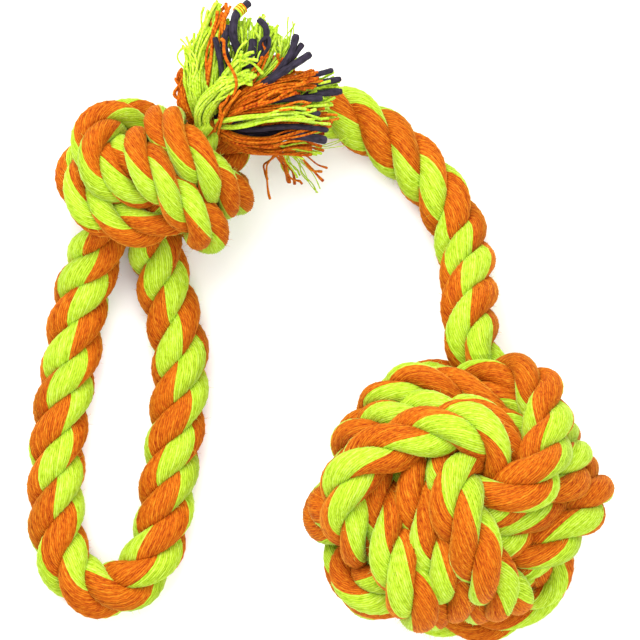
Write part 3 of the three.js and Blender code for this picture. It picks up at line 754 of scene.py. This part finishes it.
# Overhand knot: tied in the doubled rope, so the rope passes through it twice, once on either side of the
# hand loop. Both passes are drawn tight round each other, and the second ends where the rope is unlaid.
for name, ending in (("knot_first_pass", "knot_first_pass"), ("knot_second_pass", "tail")):
    knotted = rope_piece(name + "_rope", spans[name][0], spans[ending][1])
    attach(knotted, "knot")
    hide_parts(name)

# Hand loop: the bight of the rope between its two passes through the knot, wide enough for three fingers. The
# knot holds both its legs.
looped = rope_piece("hand_loop_rope", spans["loop_left_leg"][0], spans["loop_right_leg"][1])
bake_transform(looped)
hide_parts("loop_left_leg", "hand_loop", "loop_right_leg")

# Tassel: the rope's free end, unlaid above the knot. Each strand opens into soft lime and orange yarns and a
# few thick dark filler cords. They are cut off short and held by nothing but the knot.
YARN_RADIUS = 0.00031
YARN_SIDES = 6
YARN_RINGS = 20
YARN_FRAY = np.where(np.arange(YARN_RINGS) < YARN_RINGS - 2, 1.0, 1.35)
YARN_THICKNESS = (0.85, 1.12)
YARN_ENDS = (0.78, 1.04)
YARN_SPREADING = 1.4
YARN_WAVES = ((0.9, 0.0011), (2.2, 0.0005))
LOWEST_YARN = 0.0008
DYE_PLACE = {"lime": 0.0, "orange": 0.5}
COAT_STEP = 0.037
CORD_SIDES = 12
CORD_THREADS = 9
CORD_UNEVENNESS = 0.05
CORD_SHARES = np.append(np.linspace(0, 0.955, 18), (0.97, 0.985, 0.995, 1.0))
CORD_ROUNDING = np.append(np.ones(18), (0.98, 0.92, 0.8, 0.6))
WRAP_RINGS = 49
WRAP_TURNS = 3
WRAP_PLACE = (0.79, 0.89)
WRAP_THICKNESS = 1.3


def guided(guide, shares):
    """Points of the smooth curve through a guide, at shares of the way along it."""
    guide = np.array(guide)
    places = np.asarray(shares) * (len(guide) - 1)
    firsts = np.clip(places.astype(int), 0, len(guide) - 2)
    return np.array([smooth_curve(guide, first, place - first) for first, place in zip(firsts, places)])


def directions_across(way):
    """Two directions square to the straight way from the first point of a path to its last."""
    ahead = unit(np.array(way[-1]) - np.array(way[0]))
    across = unit(np.cross(ahead, (0, 0, 1)))
    return across, np.cross(across, ahead)


def lock_paths(guide, count, root_spread, tip_spread, chance):
    """Paths of the yarns of one lock: side by side at the root, loose and of uneven length at the tip."""
    shares = np.linspace(0, 1, YARN_RINGS)
    ends = chance.uniform(*YARN_ENDS, size=count)
    paths = np.stack([guided(guide, shares * end) for end in ends])
    across, above = directions_across(guide)
    angle = chance.uniform(0, 2 * math.pi, size=(count, 1))
    reach = np.sqrt(chance.uniform(0, 1, size=(count, 1)))
    aside = reach * (across * np.cos(angle) + above * np.sin(angle))
    spread = root_spread + (tip_spread - root_spread) * shares ** YARN_SPREADING
    paths += aside[:, None] * spread[None, :, None]
    for waves, height in YARN_WAVES:
        phase = chance.uniform(0, 2 * math.pi, size=(count, 1))
        way = chance.normal(size=(count, 1, 3))
        swing = shares * np.sin(2 * math.pi * waves * shares + phase)
        paths += way * height * swing[..., None]
    return paths


def tubes(paths, radii, sides, places, threads):
    """Closed tubes along paths of the same number of points: points, quads and texture places. Each tube's
    texture starts further along than the last one's, so that no two look alike."""
    count, rings = paths.shape[:2]
    heading = unit(np.gradient(paths, axis=1))
    side = unit(np.cross(heading, (0.31, 0.17, 0.93)))
    for i in range(1, rings):
        leaning = np.sum(side[:, i - 1] * heading[:, i], axis=1, keepdims=True)
        side[:, i] = unit(side[:, i - 1] - heading[:, i] * leaning)
    over = np.cross(heading, side)
    angle = 2 * math.pi * np.arange(sides) / sides
    spoke = side[:, :, None] * np.cos(angle)[:, None] + over[:, :, None] * np.sin(angle)[:, None]
    points = paths[:, :, None] + radii[..., None, None] * spoke
    ring, column = tube_faces(rings, sides)
    number = np.arange(count)[:, None, None]
    quads = (number * rings + ring) * sides + column % sides
    lengths = np.cumsum(np.linalg.norm(np.diff(paths, axis=1, prepend=paths[:, :1]), axis=2), axis=1)
    u = places[:, None, None] + column / sides * threads / YARNS
    v = lengths[:, ring] + number * COAT_STEP
    coats = np.stack((u + 0 * v, v), axis=-1)
    return points.reshape(-1, 3), quads.reshape(-1, 4), coats.reshape(-1, 4, 2)


# Locks: dye, number and thickness of the yarns, spread at root and tip, and the way the lock lies
tassel_locks = {
    "tassel_up": [
        ("orange", 60, 1.1, 0.0023, 0.0013, [(-0.0349, 0.0563, 0.027), (-0.0374, 0.0609, 0.031),
            (-0.0383, 0.0663, 0.033), (-0.0360, 0.0731, 0.034)]),
        ("lime", 34, 1.1, 0.0026, 0.0020, [(-0.0331, 0.0577, 0.031), (-0.0351, 0.0637, 0.036),
            (-0.0354, 0.0709, 0.038), (-0.0323, 0.0794, 0.038), (-0.0291, 0.0891, 0.036)]),
        ("lime", 30, 1.1, 0.0026, 0.0022, [(-0.0323, 0.0583, 0.032), (-0.0334, 0.0646, 0.038),
            (-0.0334, 0.0720, 0.039), (-0.0306, 0.0800, 0.039), (-0.0277, 0.0874, 0.036)]),
        ("lime", 26, 1.1, 0.0024, 0.0022, [(-0.0311, 0.0589, 0.033), (-0.0309, 0.0657, 0.038),
            (-0.0303, 0.0731, 0.039), (-0.0286, 0.0794, 0.039), (-0.0251, 0.0851, 0.036)]),
        ("lime", 18, 1.1, 0.0022, 0.0026, [(-0.0309, 0.0594, 0.033), (-0.0280, 0.0691, 0.037),
            (-0.0266, 0.0771, 0.038), (-0.0237, 0.0851, 0.035)]),
        ("lime", 14, 1.0, 0.0020, 0.0024, [(-0.0331, 0.0589, 0.032), (-0.0351, 0.0657, 0.038),
            (-0.0354, 0.0726, 0.039), (-0.0369, 0.0800, 0.037)]),
        ("lime", 4, 0.8, 0.0014, 0.0014, [(-0.0331, 0.0600, 0.033), (-0.0349, 0.0686, 0.040),
            (-0.0374, 0.0743, 0.040), (-0.0394, 0.0800, 0.038)]),
        ("orange", 5, 1.2, 0.0008, 0.0008, [(-0.0314, 0.0594, 0.033), (-0.0317, 0.0697, 0.041),
            (-0.0303, 0.0806, 0.041), (-0.0283, 0.0886, 0.038)]),
        ("orange", 4, 1.2, 0.0008, 0.0007, [(-0.0306, 0.0594, 0.033), (-0.0280, 0.0737, 0.039),
            (-0.0269, 0.0829, 0.041), (-0.0246, 0.0909, 0.038)]),
        ("orange", 1, 1.3, 0.0000, 0.0000, [(-0.0277, 0.0560, 0.038), (-0.0254, 0.0611, 0.042),
            (-0.0231, 0.0669, 0.045), (-0.0240, 0.0731, 0.046), (-0.0271, 0.0780, 0.045),
            (-0.0303, 0.0800, 0.043)]),
        ("lime", 16, 1.0, 0.0024, 0.0030, [(-0.0329, 0.0589, 0.028), (-0.0340, 0.0669, 0.028),
            (-0.0334, 0.0743, 0.026), (-0.0311, 0.0823, 0.022)]),
        ("orange", 10, 1.0, 0.0020, 0.0026, [(-0.0317, 0.0589, 0.028), (-0.0300, 0.0686, 0.028),
            (-0.0283, 0.0771, 0.026), (-0.0266, 0.0846, 0.022)]),
    ],
    "tassel_middle": [
        ("lime", 46, 1.2, 0.0030, 0.0013, [(-0.0331, 0.0549, 0.031), (-0.0331, 0.0594, 0.036),
            (-0.0294, 0.0640, 0.041), (-0.0243, 0.0677, 0.043), (-0.0191, 0.0700, 0.042)]),
        ("lime", 14, 1.2, 0.0012, 0.0016, [(-0.0317, 0.0594, 0.033), (-0.0271, 0.0680, 0.041),
            (-0.0231, 0.0731, 0.044), (-0.0186, 0.0771, 0.043)]),
        ("lime", 34, 1.0, 0.0020, 0.0034, [(-0.0300, 0.0600, 0.032), (-0.0231, 0.0697, 0.037),
            (-0.0209, 0.0771, 0.038), (-0.0203, 0.0843, 0.036)]),
        ("lime", 36, 1.0, 0.0020, 0.0036, [(-0.0294, 0.0600, 0.032), (-0.0197, 0.0703, 0.038),
            (-0.0163, 0.0777, 0.039), (-0.0146, 0.0846, 0.036)]),
        ("lime", 34, 1.0, 0.0020, 0.0034, [(-0.0289, 0.0594, 0.032), (-0.0163, 0.0691, 0.037),
            (-0.0123, 0.0754, 0.037), (-0.0109, 0.0811, 0.035)]),
        ("lime", 22, 1.0, 0.0015, 0.0028, [(-0.0286, 0.0591, 0.032), (-0.0151, 0.0674, 0.037),
            (-0.0106, 0.0703, 0.036), (-0.0080, 0.0737, 0.034)]),
        ("lime", 7, 0.6, 0.0008, 0.0024, [(-0.0286, 0.0594, 0.032), (-0.0134, 0.0703, 0.037),
            (-0.0094, 0.0766, 0.036), (-0.0071, 0.0840, 0.035)]),
        ("orange", 5, 1.2, 0.0008, 0.0010, [(-0.0294, 0.0594, 0.033), (-0.0197, 0.0680, 0.040),
            (-0.0163, 0.0731, 0.042), (-0.0149, 0.0760, 0.042)]),
        ("orange", 5, 1.2, 0.0008, 0.0010, [(-0.0291, 0.0594, 0.033), (-0.0163, 0.0669, 0.039),
            (-0.0111, 0.0720, 0.040), (-0.0097, 0.0749, 0.040)]),
        ("lime", 16, 1.0, 0.0024, 0.0032, [(-0.0294, 0.0594, 0.028), (-0.0214, 0.0686, 0.028),
            (-0.0174, 0.0754, 0.026), (-0.0151, 0.0811, 0.021)]),
        ("orange", 10, 1.0, 0.0020, 0.0026, [(-0.0291, 0.0591, 0.028), (-0.0180, 0.0669, 0.028),
            (-0.0134, 0.0726, 0.026), (-0.0106, 0.0766, 0.022)]),
        ("lime", 2, 1.3, 0.0004, 0.0003, [(-0.0277, 0.0674, 0.043), (-0.0237, 0.0723, 0.044),
            (-0.0191, 0.0726, 0.046), (-0.0114, 0.0683, 0.043)]),
    ],
    "tassel_right": [
        ("orange", 36, 1.0, 0.0016, 0.0024, [(-0.0286, 0.0549, 0.033), (-0.0231, 0.0623, 0.040),
            (-0.0129, 0.0669, 0.039), (-0.0011, 0.0697, 0.033)]),
        ("orange", 24, 1.0, 0.0014, 0.0016, [(-0.0283, 0.0549, 0.034), (-0.0214, 0.0611, 0.041),
            (-0.0111, 0.0651, 0.040), (-0.0014, 0.0663, 0.034)]),
        ("orange", 4, 1.2, 0.0008, 0.0007, [(-0.0280, 0.0549, 0.035), (-0.0237, 0.0589, 0.042),
            (-0.0163, 0.0611, 0.043), (-0.0097, 0.0634, 0.041), (-0.0043, 0.0663, 0.038)]),
        ("orange", 5, 1.1, 0.0008, 0.0006, [(-0.0277, 0.0543, 0.035), (-0.0226, 0.0580, 0.041),
            (-0.0146, 0.0597, 0.041), (-0.0066, 0.0609, 0.039), (0.0000, 0.0611, 0.034)]),
        ("orange", 3, 1.2, 0.0006, 0.0006, [(-0.0291, 0.0531, 0.034), (-0.0280, 0.0566, 0.040),
            (-0.0257, 0.0617, 0.044), (-0.0220, 0.0649, 0.044)]),
        ("lime", 5, 1.2, 0.0007, 0.0005, [(-0.0294, 0.0560, 0.036), (-0.0249, 0.0563, 0.042),
            (-0.0163, 0.0577, 0.042), (-0.0077, 0.0603, 0.040), (0.0009, 0.0606, 0.034)]),
        ("lime", 8, 1.2, 0.0008, 0.0007, [(-0.0291, 0.0551, 0.035), (-0.0226, 0.0546, 0.041),
            (-0.0146, 0.0566, 0.041), (-0.0066, 0.0574, 0.039), (0.0026, 0.0569, 0.032)]),
        ("lime", 24, 1.0, 0.0016, 0.0026, [(-0.0277, 0.0566, 0.031), (-0.0151, 0.0634, 0.033),
            (-0.0043, 0.0651, 0.032), (0.0049, 0.0674, 0.029)]),
        ("lime", 22, 1.0, 0.0016, 0.0026, [(-0.0277, 0.0560, 0.030), (-0.0151, 0.0606, 0.031),
            (-0.0043, 0.0617, 0.031), (0.0043, 0.0631, 0.028)]),
        ("orange", 9, 1.0, 0.0012, 0.0014, [(-0.0271, 0.0554, 0.030), (-0.0151, 0.0594, 0.031),
            (-0.0043, 0.0594, 0.031), (0.0051, 0.0583, 0.027)]),
        ("orange", 26, 1.1, 0.0018, 0.0017, [(-0.0280, 0.0537, 0.033), (-0.0226, 0.0509, 0.036),
            (-0.0146, 0.0503, 0.035), (-0.0066, 0.0526, 0.034), (0.0031, 0.0554, 0.029)]),
        ("orange", 16, 1.1, 0.0014, 0.0016, [(-0.0274, 0.0526, 0.030), (-0.0209, 0.0494, 0.031),
            (-0.0123, 0.0489, 0.029), (-0.0054, 0.0494, 0.027), (0.0009, 0.0494, 0.024)]),
        ("lime", 10, 0.9, 0.0012, 0.0018, [(-0.0254, 0.0526, 0.029), (-0.0157, 0.0509, 0.029),
            (-0.0077, 0.0494, 0.027), (-0.0003, 0.0483, 0.023)]),
        ("orange", 4, 1.1, 0.0006, 0.0014, [(-0.0191, 0.0497, 0.028), (-0.0134, 0.0491, 0.027),
            (-0.0100, 0.0440, 0.018), (-0.0066, 0.0377, 0.009)]),
        ("orange", 2, 1.1, 0.0004, 0.0010, [(-0.0163, 0.0491, 0.027), (-0.0126, 0.0489, 0.026),
            (-0.0157, 0.0429, 0.016), (-0.0137, 0.0340, 0.008)]),
        ("orange", 3, 1.0, 0.0005, 0.0014, [(-0.0140, 0.0494, 0.027), (-0.0077, 0.0480, 0.024),
            (-0.0037, 0.0457, 0.018), (0.0011, 0.0426, 0.012)]),
        ("lime", 6, 0.7, 0.0008, 0.0020, [(-0.0174, 0.0497, 0.028), (-0.0117, 0.0494, 0.026),
            (-0.0094, 0.0446, 0.018), (-0.0063, 0.0389, 0.009)]),
        ("lime", 5, 0.5, 0.0006, 0.0028, [(-0.0151, 0.0494, 0.027), (-0.0083, 0.0480, 0.023),
            (-0.0031, 0.0423, 0.014), (0.0020, 0.0360, 0.008)]),
        ("lime", 16, 1.0, 0.0020, 0.0026, [(-0.0277, 0.0560, 0.028), (-0.0163, 0.0594, 0.026),
            (-0.0066, 0.0606, 0.025), (0.0020, 0.0617, 0.022)]),
        ("orange", 12, 1.0, 0.0020, 0.0024, [(-0.0277, 0.0549, 0.028), (-0.0163, 0.0549, 0.026),
            (-0.0071, 0.0554, 0.024), (0.0003, 0.0560, 0.021)]),
        ("lime", 3, 0.4, 0.0004, 0.0020, [(-0.0054, 0.0514, 0.028), (0.0009, 0.0497, 0.024),
            (0.0060, 0.0509, 0.024), (0.0089, 0.0526, 0.025)]),
    ],
}
# Filler cords: radius and the way each lies
tassel_cords = {
    "tassel_up": [
        (0.00080, [(-0.0317, 0.0577, 0.030), (-0.0274, 0.0669, 0.040), (-0.0280, 0.0737, 0.043),
            (-0.0294, 0.0800, 0.043)]),
        (0.00100, [(-0.0309, 0.0583, 0.031), (-0.0254, 0.0703, 0.039), (-0.0269, 0.0783, 0.042),
            (-0.0257, 0.0834, 0.041)]),
        (0.00120, [(-0.0303, 0.0583, 0.031), (-0.0223, 0.0731, 0.040), (-0.0243, 0.0806, 0.042),
            (-0.0234, 0.0863, 0.042), (-0.0197, 0.0900, 0.040)]),
    ],
    "tassel_middle": [
        (0.00120, [(-0.0300, 0.0577, 0.031), (-0.0226, 0.0674, 0.039), (-0.0191, 0.0754, 0.043),
            (-0.0186, 0.0794, 0.042)]),
        (0.00090, [(-0.0294, 0.0577, 0.031), (-0.0191, 0.0709, 0.040), (-0.0151, 0.0789, 0.042),
            (-0.0151, 0.0829, 0.043), (-0.0171, 0.0851, 0.042)]),
        (0.00050, [(-0.0226, 0.0674, 0.038), (-0.0169, 0.0737, 0.042), (-0.0140, 0.0777, 0.044),
            (-0.0143, 0.0800, 0.044), (-0.0163, 0.0789, 0.043), (-0.0169, 0.0760, 0.042)]),
        (0.00100, [(-0.0289, 0.0574, 0.031), (-0.0140, 0.0680, 0.040), (-0.0083, 0.0749, 0.041),
            (-0.0063, 0.0809, 0.040)]),
        (0.00090, [(-0.0286, 0.0571, 0.031), (-0.0146, 0.0680, 0.039), (-0.0077, 0.0743, 0.040),
            (-0.0046, 0.0783, 0.039)]),
        (0.00110, [(-0.0286, 0.0571, 0.032), (-0.0163, 0.0663, 0.040), (-0.0083, 0.0714, 0.042),
            (-0.0023, 0.0754, 0.040)]),
    ],
    "tassel_right": [
        (0.00100, [(-0.0277, 0.0560, 0.031), (-0.0197, 0.0611, 0.038), (-0.0094, 0.0626, 0.039),
            (0.0009, 0.0629, 0.035)]),
        (0.00080, [(-0.0277, 0.0554, 0.031), (-0.0163, 0.0586, 0.038), (-0.0083, 0.0591, 0.038),
            (0.0003, 0.0586, 0.034)]),
        (0.00080, [(-0.0271, 0.0549, 0.030), (-0.0191, 0.0540, 0.037), (-0.0083, 0.0549, 0.037),
            (0.0026, 0.0540, 0.032)]),
        (0.00130, [(-0.0266, 0.0543, 0.029), (-0.0140, 0.0531, 0.032), (-0.0054, 0.0523, 0.035),
            (0.0020, 0.0511, 0.031)]),
        (0.00090, [(-0.0277, 0.0566, 0.030), (-0.0146, 0.0634, 0.032), (-0.0043, 0.0663, 0.033),
            (0.0063, 0.0686, 0.031)]),
        (0.00100, [(-0.0277, 0.0560, 0.029), (-0.0146, 0.0617, 0.031), (-0.0043, 0.0637, 0.032),
            (0.0066, 0.0651, 0.030)]),
        (0.00080, [(-0.0277, 0.0569, 0.031), (-0.0146, 0.0657, 0.033), (-0.0043, 0.0686, 0.034),
            (0.0040, 0.0711, 0.031)]),
    ],
}
loose_cotton = cotton_yarn("loose_cotton_yarn", painted_groove_shade=0.85, ply_share=0.12)

# Dark filler cord: spun of waste yarn. To the eye it is matt and purple black, with threads along it and worn
# pale spots.
SPOT_LENGTH = 0.00238
filler, tree = material("dark_filler_cord")
coat = node(tree, "ShaderNodeUVMap", {"uv_map": "yarns"})
place = node(tree, "ShaderNodeVectorMath", {"operation": "MULTIPLY", 1: (float(YARNS), 1 / SPOT_LENGTH, 1.0)},
             {0: coat.outputs[0]})
wear = node(tree, "ShaderNodeTexNoise", {"Scale": 1.0, "Detail": 4.0, "Roughness": 0.6},
            {"Vector": place.outputs[0]})
shades = node(tree, "ShaderNodeValToRGB", links={0: wear.outputs[0]},
              stops=((0.30, "0A070E"), (0.74, "383042")))
threads = node(tree, "ShaderNodeBump", {"Strength": 0.8, "Distance": RELIEF_DEPTH},
               {"Height": wear.outputs[0]})
dark_cord = node(tree, "ShaderNodeBsdfPrincipled", {
    "Roughness": 0.75, "Specular IOR Level": 0.2, "Sheen Weight": 0.06, "Sheen Tint": linear("CFC6DA")},
    {"Base Color": shades.outputs[0], "Normal": threads.outputs[0]})
node(tree, "ShaderNodeOutputMaterial", links={0: dark_cord.outputs[0]})

for seed, (name, locks) in enumerate(tassel_locks.items()):
    chance = np.random.default_rng(60 + seed)
    parts = []
    for dye, count, thickness, root_spread, tip_spread, guide in locks:
        paths = lock_paths(guide, count, root_spread, tip_spread, chance)
        paths[..., 2] = np.maximum(paths[..., 2], LOWEST_YARN)
        radii = YARN_RADIUS * thickness * chance.uniform(*YARN_THICKNESS, size=(count, 1)) * YARN_FRAY
        places = DYE_PLACE[dye] + chance.integers(LIME_YARNS - 1, size=count) / YARNS
        parts.append(tubes(paths, radii, YARN_SIDES, places, 1))
    if name == "tassel_up":
        # Scraps of lime and orange yarn are caught round the tip of the thickest cord
        radius, guide = tassel_cords[name][-1]
        way = guided(guide, np.linspace(*WRAP_PLACE, WRAP_RINGS))
        across, above = directions_across(way)
        for dye, start in (("lime", 0), ("orange", math.pi)):
            angle = (start + np.linspace(0, WRAP_TURNS * 2 * math.pi, WRAP_RINGS))[:, None]
            coil = way + (radius + YARN_RADIUS / 2) * (across * np.cos(angle) + above * np.sin(angle))
            radii = np.full((1, WRAP_RINGS), WRAP_THICKNESS * YARN_RADIUS)
            parts.append(tubes(coil[None], radii, YARN_SIDES, np.array([DYE_PLACE[dye]]), 1))
    yarns = mesh_piece(name + "_yarns", joined(parts), (loose_cotton,))
    parts = []
    for radius, guide in tassel_cords[name]:
        radii = radius * CORD_ROUNDING * (1 + CORD_UNEVENNESS * chance.normal(size=len(CORD_SHARES)))
        path = guided(guide, CORD_SHARES)
        parts.append(tubes(path[None], radii[None], CORD_SIDES, np.zeros(1), CORD_THREADS))
    cords = mesh_piece(name + "_fillers", joined(parts), (filler,))
    for piece, replaced in ((yarns, name + "_yarn"), (cords, name + "_filler")):
        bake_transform(piece)
        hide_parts(replaced)
